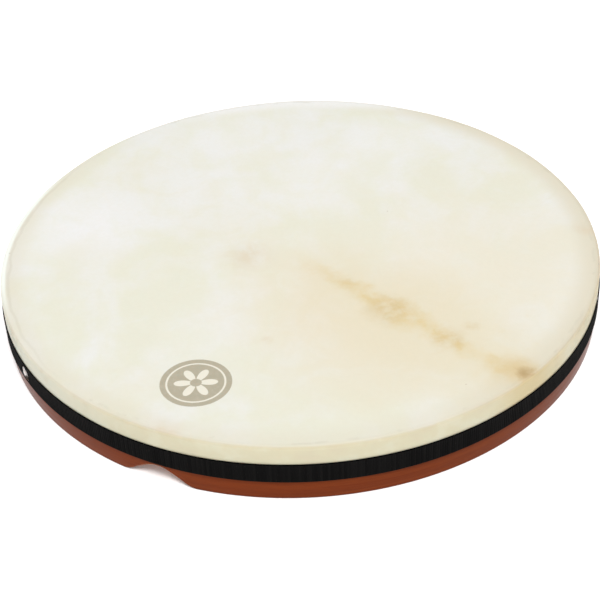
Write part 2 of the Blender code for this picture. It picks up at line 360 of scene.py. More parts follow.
def skirt_pull(height, azimuth):
    """The skirt draws in at each tack and stands a little proud between them."""
    down = np.clip((HEAD_TOP - height) / (HEAD_TOP - RIBBON_TOP), 0.0, 1.0)
    at_tack = 0.5 + 0.5 * np.cos(TACK_COUNT * (azimuth - FIRST_TACK))
    uneven = 0.6 + 0.4 * wobble(azimuth, ((3, 0.5, 0.4), (8, 0.3, 2.0), (13, 0.2, 5.0)))
    return 0.16 * MM * down * at_tack * uneven


def build_skin(material):
    azimuths = np.arange(SKIN_COLUMNS) * TURN / SKIN_COLUMNS
    profiles = []
    for azimuth in azimuths:
        column = np.concatenate(skin_profile(edge_rounding(azimuth)))
        column[:, 1] -= skin_sag(column[:, 0], azimuth)
        outside = column[:, 0] > SKIN_RADIUS - SKIN_EDGE_ROUND
        column[outside, 0] -= skirt_pull(column[outside, 1], azimuth)
        profiles.append(column[1:-1])
    points = round_z(profiles, azimuths)
    rows, columns = points.shape[:2]
    faces = band_faces(rows, columns, True, False)
    verts = points.reshape(-1, 3).tolist()
    verts += [(0.0, 0.0, HEAD_TOP), (0.0, 0.0, HEAD_TOP - SKIN_THICKNESS)]
    top_point = len(verts) - 2
    for row in range(rows):
        after = (row + 1) % rows
        faces.append((top_point, row * columns, after * columns))
        faces.append((top_point + 1, after * columns + columns - 1, row * columns + columns - 1))
    skin = cut_bore(make_object("drum_skin", verts, faces, material, sharp=50.0), wall_bore())
    add_turned_lip(skin)
    finish_piece(skin, "goatskin", "goatskin_head")


def add_turned_lip(skin):
    """Round the vent the wet skin was turned up as the hole was cut, inside the ribbon's hole."""
    inner = VENT_MOUTH
    outer = VENT_MOUTH + LIP_THICKNESS
    low = SKIN_RADIUS - 0.5 * MM
    high = RIBBON_RADIUS - 0.45 * MM
    crown = (high + 0.12 * MM, 0.5 * (inner + outer))
    add_vent_ring(skin, np.array([(low, inner), (high, inner), crown, (high, outer), (low, outer)]))


# ---------------------------------------------------------------- ribbon


def ribbon_inner(turned):
    """Inner radius after this much of the turn: the end climbs over the beginning."""
    share = np.clip((turned - TURN + RIBBON_LAP) / RIBBON_LAP, 0.0, 1.0)
    climb = share * share * (3.0 - 2.0 * share)
    return RIBBON_RADIUS - RIBBON_THICKNESS + (RIBBON_THICKNESS + 0.2 * MM) * climb


def low_place(azimuth):
    """1 where the ribbon was glued on lowest, just beyond the vent, easing to 0 on both sides."""
    away = (azimuth - DIP_AZIMUTH + math.pi) % TURN - math.pi
    return np.exp(-((away / DIP_SPREAD) ** 2))


def build_ribbon(material):
    """A grosgrain strip: crosswise ribs, firm narrow selvedges, and an end lapped over its beginning."""
    columns = int(RIB_COUNT * COLUMNS_PER_RIB * (1.0 + RIBBON_LAP / TURN))
    turned = np.arange(columns) * TURN / (RIB_COUNT * COLUMNS_PER_RIB)
    low = ribbon_inner(turned)
    rib = 0.5 + 0.5 * np.cos(RIB_COUNT * turned)
    across = np.array([0.0, 0.015, 0.04, 0.075, 0.5, 0.925, 0.96, 0.985, 1.0])
    thick = np.array([0.35, 0.8, 1.0, 0.93, 0.96, 0.93, 1.0, 0.8, 0.35])
    ribbed = np.array([0.0, 0.1, 0.3, 1.0, 1.0, 1.0, 0.3, 0.1, 0.0])
    drift = wobble(turned, ((3, 0.10, 0.3), (7, 0.06, 1.9), (11, 0.04, 4.4))) * MM
    bottom = RIBBON_BOTTOM + 0.4 * MM + drift - RIBBON_DIP * low_place(RIBBON_START + turned)
    width = RIBBON_TOP - 0.2 * MM - bottom
    sections = np.zeros((columns, len(across) + 2, 2))
    for k in range(len(across)):
        face = RIBBON_THICKNESS * thick[k] - RIB_HEIGHT * ribbed[k] * (1.0 - rib)
        sections[:, k, 0] = low + face
        sections[:, k, 1] = bottom + width * across[k]
    sections[:, -2, 0] = low
    sections[:, -2, 1] = bottom + width
    sections[:, -1, 0] = low
    sections[:, -1, 1] = bottom
    points = round_z(sections, RIBBON_START + turned)
    faces = band_faces(columns, sections.shape[1], False, True)
    last = (columns - 1) * sections.shape[1]
    faces.append(tuple(range(sections.shape[1])))
    faces.append(tuple(last + k for k in reversed(range(sections.shape[1]))))
    strip = make_object("grosgrain_ribbon", points.reshape(-1, 3).tolist(), faces, material)
    ribbon = cut_bore(strip, ribbon_bore())
    add_melted_edge(ribbon)
    finish_piece(ribbon, "ribbon", "ribbon_band")


def add_melted_edge(ribbon):
    """The ribbon's hole is heat-cut, which leaves a smooth raised bead round it."""
    turns = np.arange(10) * TURN / 10
    out = RIBBON_RADIUS - 0.1 * MM + MELTED_BEAD * np.sin(turns)
    radius = RIBBON_HOLE + 0.8 * MELTED_BEAD + MELTED_BEAD * np.cos(turns)
    add_vent_ring(ribbon, np.stack([out, radius], axis=-1))


# ---------------------------------------------------------------- shader helpers


def new_material(name):
    """A material, its node tree, and its Principled shader."""
    material = bpy.data.materials.new(name)
    material.use_nodes = True
    tree = material.node_tree
    return material, tree, tree.nodes["Principled BSDF"]


def feed(tree, socket, value):
    """Joins a socket to another, or sets it to a plain value."""
    if isinstance(value, bpy.types.NodeSocket):
        tree.links.new(value, socket)
    elif value is not None:
        socket.default_value = value


def maths(tree, operation, first, second=None, third=None):
    node = tree.nodes.new("ShaderNodeMath")
    node.operation = operation
    for socket, value in zip(node.inputs, (first, second, third)):
        feed(tree, socket, value)
    return node.outputs[0]


def product(tree, first, *others):
    for other in others:
        first = maths(tree, "MULTIPLY", first, other)
    return first


def distance_from(tree, value, middle):
    return maths(tree, "ABSOLUTE", maths(tree, "SUBTRACT", value, middle))


def hypotenuse(tree, x, y):
    squares = maths(tree, "ADD", maths(tree, "MULTIPLY", x, x), maths(tree, "MULTIPLY", y, y))
    return maths(tree, "SQRT", squares)


def vector_maths(tree, operation, first, second, output=0):
    node = tree.nodes.new("ShaderNodeVectorMath")
    node.operation = operation
    feed(tree, node.inputs[0], first)
    feed(tree, node.inputs[1], second)
    return node.outputs[output]


def length_of(tree, vector):
    return vector_maths(tree, "LENGTH", vector, None, output=1)


def blend_colours(tree, share, first, second, kind="MIX"):
    node = tree.nodes.new("ShaderNodeMix")
    node.data_type = "RGBA"
    node.blend_type = kind
    feed(tree, node.inputs["Factor"], share)
    feed(tree, node.inputs[6], first)
    feed(tree, node.inputs[7], second)
    return node.outputs[2]


def between(tree, value, low, high, to_low=0.0, to_high=1.0):
    """Eases from to_low to to_high as the value goes from low to high."""
    node = tree.nodes.new("ShaderNodeMapRange")
    node.interpolation_type = "SMOOTHSTEP"
    feed(tree, node.inputs[0], value)
    for socket, number in zip(node.inputs[1:5], (low, high, to_low, to_high)):
        feed(tree, socket, number)
    return node.outputs[0]


def noise(tree, vector, scale, detail=3.0, roughness=0.5, distortion=0.0):
    node = tree.nodes.new("ShaderNodeTexNoise")
    feed(tree, node.inputs["Vector"], vector)
    feed(tree, node.inputs["Scale"], scale)
    feed(tree, node.inputs["Detail"], detail)
    feed(tree, node.inputs["Roughness"], roughness)
    feed(tree, node.inputs["Distortion"], distortion)
    return node.outputs[0]


def warped(tree, point, steps):
    """Pushes a point about by noise in (scale, distance) steps: shapes drawn there get feathered edges."""
    moved = point
    for scale, distance in steps:
        node = tree.nodes.new("ShaderNodeTexNoise")
        feed(tree, node.inputs["Vector"], point)
        feed(tree, node.inputs["Scale"], scale)
        feed(tree, node.inputs["Detail"], 3.0)
        push = vector_maths(tree, "SUBTRACT", node.outputs["Color"], (0.5, 0.5, 0.5))
        push = vector_maths(tree, "MULTIPLY", push, (distance, distance, 0.0))
        moved = vector_maths(tree, "ADD", moved, push)
    return moved


def place(tree):
    """The point's place in the drum's frame, in metres."""
    return tree.nodes.new("ShaderNodeTexCoord").outputs["Object"]


def split(tree, vector):
    node = tree.nodes.new("ShaderNodeSeparateXYZ")
    feed(tree, node.inputs[0], vector)
    return node.outputs


def joined(tree, x, y, z):
    node = tree.nodes.new("ShaderNodeCombineXYZ")
    for socket, value in zip(node.inputs, (x, y, z)):
        feed(tree, socket, value)
    return node.outputs[0]


def mapped(tree, vector, scale=(1, 1, 1), turn=0.0, shift=(0, 0, 0)):
    node = tree.nodes.new("ShaderNodeMapping")
    feed(tree, node.inputs["Vector"], vector)
    node.inputs["Scale"].default_value = scale
    node.inputs["Rotation"].default_value = (0.0, 0.0, turn)
    node.inputs["Location"].default_value = shift
    return node.outputs[0]


def around(tree, radius, seam):
    """(distance round the ring, distance from its axis, height) in metres, counted from the seam."""
    x, y, z = split(tree, mapped(tree, place(tree), turn=math.pi - seam))
    arc = maths(tree, "MULTIPLY", maths(tree, "ARCTAN2", y, x), radius)
    return joined(tree, arc, hypotenuse(tree, x, y), z)


def bump(tree, height, strength, distance, normal=None):
    node = tree.nodes.new("ShaderNodeBump")
    feed(tree, node.inputs["Height"], height)
    feed(tree, node.inputs["Strength"], strength)
    feed(tree, node.inputs["Distance"], distance)
    feed(tree, node.inputs["Normal"], normal)
    return node.outputs[0]


def colour(red, green, blue):
    return (red, green, blue, 1.0)


# ---------------------------------------------------------------- materials


def near_line(tree, point, start, end):
    """(share of the way along a line in the head's plane, distance from it)."""
    start = Vector(start) * MM
    along = Vector(end) * MM - start
    length = along.length
    along.normalize()
    offset = vector_maths(tree, "SUBTRACT", point, (start.x, start.y, 0.0))
    reach = vector_maths(tree, "DOT_PRODUCT", offset, (along.x, along.y, 0.0), output=1)
    aside = vector_maths(tree, "DOT_PRODUCT", offset, (-along.y, along.x, 0.0), output=1)
    return maths(tree, "DIVIDE", reach, length), aside


def near_spot(tree, point, centre, size):
    """1 at the spot's centre, easing to 0 at this distance from it."""
    offset = vector_maths(tree, "SUBTRACT", point, (centre[0] * MM, centre[1] * MM, 0.0))
    return between(tree, length_of(tree, offset), 0.0, size * MM, 1.0, 0.0)


def printed_mark(tree, point):
    """(ink share, motif share) of a plain printed roundel: a ring of six petals inside a disc."""
    centre = (MARK_CENTRE[0] * MM, MARK_CENTRE[1] * MM, 0.0)
    size = MARK_RADIUS * MM
    x, y, _ = split(tree, vector_maths(tree, "SUBTRACT", point, centre))
    angle = maths(tree, "ARCTAN2", y, x)
    ragged = noise(tree, point, 900.0, 2.0)
    rough_distance = maths(tree, "MULTIPLY_ADD", ragged, 0.5 * MM, hypotenuse(tree, x, y))
    disc = between(tree, rough_distance, size, size + 0.5 * MM, 1.0, 0.0)
    lobes = maths(tree, "ABSOLUTE", maths(tree, "COSINE", maths(tree, "MULTIPLY", angle, 3.0)))
    petal_edge = maths(tree, "MULTIPLY", maths(tree, "POWER", lobes, 0.85), 0.62 * size)
    past_petal = maths(tree, "SUBTRACT", rough_distance, petal_edge)
    petals = between(tree, past_petal, -0.3 * MM, 0.3 * MM, 1.0, 0.0)
    hub = between(tree, rough_distance, 0.16 * size, 0.18 * size)
    off_ring = distance_from(tree, rough_distance, 0.82 * size)
    ring = between(tree, off_ring, 0.02 * size, 0.035 * size, 1.0, 0.0)
    motif = maths(tree, "MAXIMUM", product(tree, petals, hub), ring)
    return disc, motif


def spotted(tree, tone, point, spots, shade, tint):
    """Tints soft round spots: each is (centre in millimetres, radius in millimetres, strength)."""
    for centre, size, strength in spots:
        share = product(tree, near_spot(tree, point, centre, size), shade, strength)
        tone = blend_colours(tree, share, tone, tint)
    return tone


def mottled_cream(tree, point, flat_point, medium):
    """The head's ground: hazy cool and creamy patches, drawn out a little towards +Y."""
    haze = noise(tree, mapped(tree, flat_point, (13.0, 6.0, 1.0), 0.12), 1.0, 4.0, 0.55, 0.6)
    cloud = noise(tree, point, 20.0, 3.0, 0.5, 0.4)
    mixed = maths(tree, "MULTIPLY_ADD", haze, 0.6, maths(tree, "MULTIPLY", cloud, 0.4))
    tone = blend_colours(
        tree, between(tree, mixed, 0.41, 0.59), colour(0.573, 0.578, 0.472), colour(0.600, 0.607, 0.565)
    )
    tone = blend_colours(tree, between(tree, medium, 0.45, 0.75, 0.0, 0.4), tone, colour(0.570, 0.560, 0.460))
    tone = blend_colours(tree, between(tree, medium, 0.22, 0.42, 0.4, 0.0), tone, colour(0.612, 0.622, 0.595))
    soft = between(tree, medium, 0.3, 0.6, 0.6, 1.0)
    pale_spots = (
        ((-212, 48), 95, 0.85),
        ((-60, 200), 90, 0.45),
        ((95, 180), 80, 0.55),
        ((20, 120), 90, 0.35),
        ((-75, -125), 70, 0.25),
    )
    tone = spotted(tree, tone, flat_point, pale_spots, soft, colour(0.628, 0.634, 0.618))
    cream_spots = (
        ((225, 130), 80, 0.35),
        ((-150, -200), 60, 0.5),
        ((50, -195), 55, 0.5),
        ((-205, 0), 45, 0.4),
        ((-165, 150), 60, 0.35),
        ((240, -20), 75, 0.5),
        ((-60, 20), 90, 0.6),
        ((20, -200), 95, 0.8),
        ((-20, -150), 60, 0.5),
    )
    return spotted(tree, tone, flat_point, cream_spots, soft, colour(0.570, 0.558, 0.440))


def spine_streak(tree, tone, flat_point, medium):
    """The tan streak along the animal's spine, with wide warm shoulders: it starts thin, and widens."""
    mottle = between(tree, medium, 0.3, 0.6, 0.7, 1.0)
    tone = spotted(tree, tone, flat_point, (((165, -75), 215, 1.0),), mottle, colour(0.590, 0.565, 0.455))
    tone = spotted(tree, tone, flat_point, (((112, -98), 75, 0.85),), mottle, colour(0.575, 0.530, 0.390))
    feathered = warped(tree, flat_point, ((16.0, 24.0 * MM), (45.0, 34.0 * MM), (260.0, 8.0 * MM)))
    along, aside = near_line(tree, feathered, STREAK_START, STREAK_END)
    off = maths(tree, "ABSOLUTE", aside)
    begun = between(tree, along, -0.25, 0.25)
    below = product(
        tree,
        between(tree, aside, -150.0 * MM, -45.0 * MM),
        begun,
        between(tree, aside, -10.0 * MM, 25.0 * MM, 0.85, 0.0),
        between(tree, along, 0.6, 0.85, 1.0, 0.25),
        mottle,
    )
    tone = blend_colours(tree, below, tone, colour(0.575, 0.528, 0.392))
    shoulder = product(tree, between(tree, off, 5.0 * MM, 85.0 * MM, 0.95, 0.0), begun, mottle)
    tone = blend_colours(tree, shoulder, tone, colour(0.566, 0.522, 0.380))
    reach = between(tree, along, 0.0, 0.35, 9.0 * MM, 18.0 * MM)
    reach = maths(tree, "MINIMUM", reach, between(tree, along, 0.45, 0.75, 18.0 * MM, 13.0 * MM))
    blotch = noise(tree, flat_point, 60.0, 4.0, 0.6)
    core = product(
        tree,
        between(tree, maths(tree, "DIVIDE", off, reach), 0.0, 1.2, 1.0, 0.0),
        between(tree, along, -0.05, 0.30, 0.25, 1.0),
        between(tree, along, -0.08, 0.02),
        between(tree, distance_from(tree, along, 0.775), 0.01, 0.07, 0.35, 1.0),
        between(tree, blotch, 0.32, 0.6, 0.35, 1.0),
    )
    tone = blend_colours(tree, core, tone, colour(0.535, 0.445, 0.245))
    rough = between(tree, blotch, 0.32, 0.55, 0.3, 1.0)
    frayed = warped(tree, flat_point, ((60.0, 16.0 * MM), (260.0, 8.0 * MM)))
    dark_spots = (
        ((42, -62), 14, 0.2),
        ((77, -106), 30, 0.6),
        ((125, -152), 22, 0.6),
        ((146, -134), 11, 0.4),
    )
    return spotted(tree, tone, frayed, dark_spots, rough, colour(0.455, 0.350, 0.165))


def vent_lip_tone(tree, tone, point):
    """The skin's lip round the vent: painted highlight at its sides, and painted shade at its top and bottom.
    """
    at_vent = between(tree, vent_distance(tree), VENT_MOUTH + 0.5 * MM, VENT_MOUTH + 0.9 * MM, 1.0, 0.0)
    off_middle = distance_from(tree, split(tree, point)[2], VENT_HEIGHT)
    # Painted highlight where the lip's sides catch the light, painted shade at its top and bottom.
    lit_sides = between(tree, off_middle, 4.4 * MM, 5.8 * MM, 1.0, 0.0)
    lip = blend_colours(tree, lit_sides, colour(0.045, 0.040, 0.035), colour(0.760, 0.710, 0.675))
    return blend_colours(tree, at_vent, tone, lip)


def end_stain(tree, tone, flat_point, medium):
    """Where the streak meets the rim it ends in a brown patch with a dark middle."""
    solid = between(tree, medium, 0.35, 0.6, 0.8, 1.0)
    torn = warped(tree, flat_point, ((90.0, 10.0 * MM), (300.0, 6.0 * MM)))
    patches = (((165, -206), 34, 0.2), ((175, -194), 27, 0.7), ((181, -199), 23, 0.75))
    tone = spotted(tree, tone, torn, patches, solid, colour(0.510, 0.410, 0.225))
    return spotted(tree, tone, torn, (((183, -202), 12, 0.95),), solid, colour(0.345, 0.250, 0.120))


def left_rim_highlight(tree, tone, point, flat_point):
    """At the left, a painted highlight makes the skin over the rim's rounding nearly white."""
    x, y, height = split(tree, point)
    share = product(
        tree,
        between(tree, length_of(tree, flat_point), 273.2 * MM, 275.8 * MM),
        between(tree, height, HEAD_TOP - 4.0 * MM, HEAD_TOP - 2.0 * MM),
        between(tree, x, -262.0 * MM, -225.0 * MM, 1.0, 0.0),
        between(tree, y, -100.0 * MM, -30.0 * MM),
    )
    return blend_colours(tree, share, tone, colour(0.670, 0.705, 0.640))


def rim_and_stains(tree, tone, flat_point, medium, fine):
    """Painted shade near the rim and over its rounding, paler skin near the back rim, the thin line where it
    beds on the hoop, small stains and specks.
    """
    from_axis = length_of(tree, flat_point)
    x, y, _ = split(tree, flat_point)
    rightward = between(tree, x, 0.0, 200.0 * MM, 0.0, 0.95)
    frontward = between(tree, y, 120.0 * MM, 250.0 * MM, 0.5, 0.0)
    # Painted shade near the rim, towards the right and front.
    rim_shade = between(tree, from_axis, 250.0 * MM, 273.0 * MM, 0.0, 1.0)
    rim_shade = product(tree, rim_shade, maths(tree, "MAXIMUM", rightward, frontward))
    tone = blend_colours(tree, rim_shade, tone, colour(0.535, 0.505, 0.395))
    behind = between(tree, y, 235.0 * MM, 266.0 * MM)
    behind = product(tree, behind, between(tree, from_axis, 252.0 * MM, 272.0 * MM))
    tone = blend_colours(tree, behind, tone, colour(0.630, 0.632, 0.598))
    # Painted shade over the rim's rounding, where it faces the light, most towards the right.
    rounding_shade = between(tree, from_axis, 272.5 * MM, 278.5 * MM)
    rounding_shade = product(tree, rounding_shade, between(tree, x, -270.0 * MM, -120.0 * MM, 0.3, 1.0))
    tone = blend_colours(tree, rounding_shade, tone, colour(0.90, 0.89, 0.86), "MULTIPLY")
    wandering = length_of(tree, warped(tree, flat_point, ((30.0, 9.0 * MM),)))
    line_radius = between(tree, x, -270.0 * MM, -170.0 * MM, 271.6 * MM, 273.6 * MM)
    off_line = distance_from(tree, wandering, line_radius)
    broken = between(tree, medium, 0.50, 0.62)
    broken = maths(tree, "MAXIMUM", broken, between(tree, x, -270.0 * MM, -180.0 * MM, 1.0, 0.0))
    line = product(tree, between(tree, off_line, 0.3 * MM, 2.2 * MM, 0.3, 0.0), broken)
    tone = blend_colours(tree, line, tone, colour(0.400, 0.385, 0.300))
    mottle = between(tree, medium, 0.35, 0.6, 0.3, 1.0)
    tan_spots = (((-48, -14), 34, 0.5), ((-115, -252), 20, 0.6), ((-31, -140), 8, 0.5), ((271, 6), 16, 0.6))
    tone = spotted(tree, tone, flat_point, tan_spots, mottle, colour(0.500, 0.415, 0.280))
    dots = tree.nodes.new("ShaderNodeTexVoronoi")
    feed(tree, dots.inputs["Vector"], flat_point)
    feed(tree, dots.inputs["Scale"], 22.0)
    rare = maths(tree, "GREATER_THAN", split(tree, dots.outputs["Color"])[0], 0.86)
    speck = product(tree, between(tree, dots.outputs["Distance"], 0.012, 0.03, 0.65, 0.0), rare)
    tone = blend_colours(tree, speck, tone, colour(0.20, 0.14, 0.08))
    return blend_colours(tree, between(tree, fine, 0.3, 0.7, 0.0, 0.10), tone, colour(0.50, 0.47, 0.37))


def skirt_tone(tree, tone, point, flat_point):
    """Down the side the skin is yellower, most of all at the front, with painted light on its right and
    painted shade over the bend at the front.
    """
    x, y, height = split(tree, point)
    # The side's tone: the skin's own yellower colour, lightened on the right as painted light where the key
    # light reaches it less.
    frontward = between(tree, x, -270.0 * MM, -120.0 * MM)
    warm = blend_colours(tree, frontward, colour(0.600, 0.605, 0.500), colour(0.535, 0.500, 0.345))
    rightward = between(tree, x, 100.0 * MM, 260.0 * MM)
    warm = blend_colours(tree, rightward, warm, colour(0.590, 0.540, 0.375))
    blotch = noise(tree, point, 42.0, 3.0, 0.6)
    warm = blend_colours(tree, between(tree, blotch, 0.5, 0.65, 0.0, 0.4), warm, colour(0.510, 0.450, 0.320))
    warm = blend_colours(tree, between(tree, blotch, 0.35, 0.5, 0.4, 0.0), warm, colour(0.580, 0.570, 0.440))
    stained = between(tree, distance_from(tree, x, 187.0 * MM), 3.0 * MM, 42.0 * MM, 0.9, 0.0)
    warm = blend_colours(tree, stained, warm, colour(0.525, 0.440, 0.245))
    ragged = noise(tree, point, 85.0, 4.0, 0.65)
    uneven = maths(tree, "MULTIPLY_ADD", ragged, 1.6 * MM, maths(tree, "SUBTRACT", height, 0.8 * MM))
    on_side = between(tree, uneven, HEAD_TOP - 1.5 * MM, HEAD_TOP - 0.1 * MM, 0.95, 0.0)
    tone = blend_colours(tree, on_side, tone, warm)
    # Painted shade over the bend at the front, where the rounding faces the light.
    bend_shade = product(
        tree,
        between(tree, length_of(tree, flat_point), 276.7 * MM, 278.0 * MM),
        between(tree, height, HEAD_TOP - 3.4 * MM, HEAD_TOP - 1.6 * MM),
        between(tree, y, -50.0 * MM, 50.0 * MM, 1.0, 0.0),
    )
    return blend_colours(tree, bend_shade, tone, colour(0.88, 0.87, 0.85), "MULTIPLY")


def goatskin():
    """Natural goatskin: mottled cream, a tan streak, pores, stains and a print. Some light comes through."""
    material, tree, shader = new_material("goatskin")
    point = place(tree)
    flat_point = vector_maths(tree, "MULTIPLY", point, (1.0, 1.0, 0.0))
    medium = noise(tree, point, 34.0, 5.0, 0.6, 0.8)
    fine = noise(tree, point, 240.0, 4.0, 0.6)
    tone = mottled_cream(tree, point, flat_point, medium)
    tone = spine_streak(tree, tone, flat_point, medium)
    tone = rim_and_stains(tree, tone, flat_point, medium, fine)
    tone = end_stain(tree, tone, flat_point, medium)
    tone = skirt_tone(tree, tone, point, flat_point)
    tone = left_rim_highlight(tree, tone, point, flat_point)
    tone = vent_lip_tone(tree, tone, point)
    disc, motif = printed_mark(tree, flat_point)
    on_top = between(tree, split(tree, point)[2], HEAD_TOP - 0.6 * MM, HEAD_TOP - 0.4 * MM)
    ink = blend_colours(tree, motif, colour(0.300, 0.290, 0.213), colour(0.60, 0.58, 0.48))
    inked = product(tree, disc, on_top, between(tree, fine, 0.2, 0.6, 0.86, 0.97))
    tone = blend_colours(tree, inked, tone, ink)
    shown = blend_colours(tree, 1.0, tone, SKIN_LIFT, "MULTIPLY")
    feed(tree, shader.inputs["Base Color"], shown)
    feed(tree, shader.inputs["Roughness"], between(tree, medium, 0.3, 0.7, 0.55, 0.68))
    shader.inputs["Specular IOR Level"].default_value = 0.3
    pores = noise(tree, point, 1400.0, 2.0, 0.6)
    fibres = noise(tree, mapped(tree, point, (180.0, 420.0, 300.0), 0.8), 1.0, 4.0, 0.6, 0.5)
    normal = bump(tree, pores, 0.25, 0.05 * MM)
    normal = bump(tree, fibres, 0.3, 0.10 * MM, normal)
    feed(tree, shader.inputs["Normal"], normal)
    through = tree.nodes.new("ShaderNodeBsdfTranslucent")
    feed(tree, through.inputs["Color"], GLOW)
    both = tree.nodes.new("ShaderNodeMixShader")
    both.inputs[0].default_value = LIGHT_THROUGH_SKIN
    tree.links.new(shader.outputs[0], both.inputs[1])
    tree.links.new(through.outputs[0], both.inputs[2])
    tree.links.new(both.outputs[0], tree.nodes["Material Output"].inputs[0])
    return material


def vent_distance(tree):
    """Distance from the vent's axis, measured on the wall."""
    arc, _, height = split(tree, around(tree, PLY_RADII[0], VENT_AZIMUTH + math.pi))
    return hypotenuse(tree, arc, maths(tree, "SUBTRACT", height, VENT_HEIGHT))


def lacquered_wood(name, seam):
    """Reddish-brown stained wood under satin lacquer, its grain running round the hoop."""
    material, tree, shader = new_material(name)
    ring = around(tree, PLY_RADII[0], seam)
    height = split(tree, ring)[2]
    streaks = noise(tree, mapped(tree, ring, (9.0, 260.0, 260.0)), 1.0, 5.0, 0.6, 0.6)
    fine = noise(tree, mapped(tree, ring, (55.0, 2200.0, 2200.0)), 1.0, 3.0, 0.6)
    patches = noise(tree, mapped(tree, ring, (7.0, 22.0, 22.0)), 1.0, 3.0, 0.5)
    tone = blend_colours(
        tree, between(tree, streaks, 0.3, 0.7), colour(0.118, 0.020, 0.004), colour(0.170, 0.034, 0.007)
    )
    tone = blend_colours(tree, between(tree, patches, 0.4, 0.7, 0.0, 0.6), tone, colour(0.175, 0.031, 0.005))
    rightward = between(tree, split(tree, place(tree))[0], 60.0 * MM, 160.0 * MM, 0.0, 0.6)
    tone = blend_colours(tree, rightward, tone, colour(0.155, 0.030, 0.005))
    tone = blend_colours(tree, between(tree, fine, 0.52, 0.75, 0.0, 0.45), tone, colour(0.068, 0.013, 0.004))
    above = maths(tree, "SUBTRACT", height, worn_height(tree))
    # Painted shade along the hoop's lower rim, where it meets the floor.
    foot_shade = between(tree, above, 0.0, 1.4 * MM, 1.0, 0.0)
    tone = blend_colours(tree, product(tree, foot_shade, 0.35), tone, colour(0.10, 0.024, 0.010))
    # Paler along the notch's rounded edge: partly bare sanded wood, partly painted sheen where the rounding
    # reflects the floor.
    sanded_and_sheen = product(
        tree,
        between(tree, above, 0.3 * MM, 3.6 * MM, 1.0, 0.0),
        notch_nearness(tree),
        between(tree, streaks, 0.3, 0.7, 0.6, 1.0),
    )
    tone = blend_colours(tree, sanded_and_sheen, tone, colour(0.45, 0.19, 0.075))
    # The bore's wall: bare wood at its mouth, painted almost white as a painted highlight, and painted
    # near-black deeper in as painted shade.
    off_vent = vent_distance(tree)
    bored = between(tree, off_vent, VENT_MOUTH + 0.1 * MM, VENT_MOUTH + 0.3 * MM, 1.0, 0.0)
    depth = maths(tree, "SUBTRACT", PLY_RADII[0], split(tree, ring)[1])
    painted_shade_depth = between(tree, depth, 0.1 * MM, 0.4 * MM)
    inside = blend_colours(tree, painted_shade_depth, colour(0.90, 0.88, 0.85), colour(0.006, 0.004, 0.003))
    tone = blend_colours(tree, bored, tone, inside)
    feed(tree, shader.inputs["Base Color"], tone)
    feed(tree, shader.inputs["Roughness"], between(tree, streaks, 0.3, 0.7, 0.30, 0.42))
    shader.inputs["IOR"].default_value = 1.13
    shader.inputs["Sheen Weight"].default_value = 0.12
    shader.inputs["Sheen Roughness"].default_value = 0.3
    normal = bump(tree, fine, 0.25, 0.05 * MM)
    normal = bump(tree, streaks, 0.2, 0.15 * MM, normal)
    feed(tree, shader.inputs["Normal"], normal)
    return material


def notch_nearness(tree):
    """The notch's bell as nodes: 1 in its middle, 0 outside it."""
    arc = split(tree, around(tree, PLY_RADII[0], NOTCH_AZIMUTH + math.pi))[0]
    share = maths(tree, "DIVIDE", maths(tree, "ABSOLUTE", arc), NOTCH_HALF_WIDTH)
    share = maths(tree, "MINIMUM", share, 1.0)
    return maths(tree, "POWER", maths(tree, "COSINE", maths(tree, "MULTIPLY", share, 0.5 * math.pi)), 2.0)


def worn_height(tree):
    """Height of the hoop's lower rim at this azimuth."""
    return maths(tree, "MULTIPLY", notch_nearness(tree), NOTCH_HEIGHT)


def grosgrain():
    """Black ribbed ribbon with a dull silk sheen."""
    material, tree, shader = new_material("grosgrain")
    ring = around(tree, RIBBON_RADIUS, RIBBON_START)
    arc, _, height = split(tree, ring)
    rib = maths(tree, "FLOOR", maths(tree, "MULTIPLY", arc, RIB_COUNT / (TURN * RIBBON_RADIUS)))
    lot = tree.nodes.new("ShaderNodeTexWhiteNoise")
    lot.noise_dimensions = "1D"
    feed(tree, lot.inputs["W"], rib)
    threads = noise(tree, mapped(tree, ring, (2600.0, 900.0, 260.0)), 1.0, 3.0, 0.6)
    darker, lighter = colour(0.0030, 0.0028, 0.0028), colour(0.0060, 0.0056, 0.0054)
    tone = blend_colours(tree, lot.outputs["Value"], darker, lighter)
    tone = blend_colours(tree, between(tree, threads, 0.5, 0.8, 0.0, 0.5), tone, colour(0.011, 0.010, 0.010))
    # Darker along the ribbon's top edge as painted shade where it meets the skin, and darker round its hole;
    # both are also less shiny.
    to_selvedge = maths(tree, "MINIMUM", maths(tree, "SUBTRACT", RIBBON_TOP - 0.2 * MM, height), 2.0 * MM)
    firm = between(tree, to_selvedge, 0.6 * MM, 1.5 * MM, 1.0, 0.0)
    bead = between(tree, vent_distance(tree), RIBBON_HOLE + 0.5 * MM, RIBBON_HOLE + 0.8 * MM, 1.0, 0.0)
    # Painted sheen at the ribbon's far right, where it is seen edge-on.
    grazing_sheen = between(tree, split(tree, place(tree))[0], 266.0 * MM, 278.0 * MM, 0.0, 0.8)
    tone = blend_colours(tree, grazing_sheen, tone, colour(0.036, 0.029, 0.021))
    dull = maths(tree, "MAXIMUM", firm, bead)
    tone = blend_colours(tree, dull, tone, colour(0.0015, 0.0014, 0.0014))
    feed(tree, shader.inputs["Base Color"], tone)
    feed(tree, shader.inputs["Roughness"], between(tree, threads, 0.3, 0.7, 0.5, 0.65))
    feed(tree, shader.inputs["Specular IOR Level"], between(tree, dull, 0.0, 1.0, 0.5, 0.1))
    shader.inputs["IOR"].default_value = 1.08
    weave = maths(tree, "SINE", maths(tree, "MULTIPLY", height, TURN / (0.45 * MM)))
    normal = bump(tree, weave, 0.3, 0.03 * MM)
    normal = bump(tree, threads, 0.4, 0.04 * MM, normal)
    feed(tree, shader.inputs["Normal"], normal)
    return material


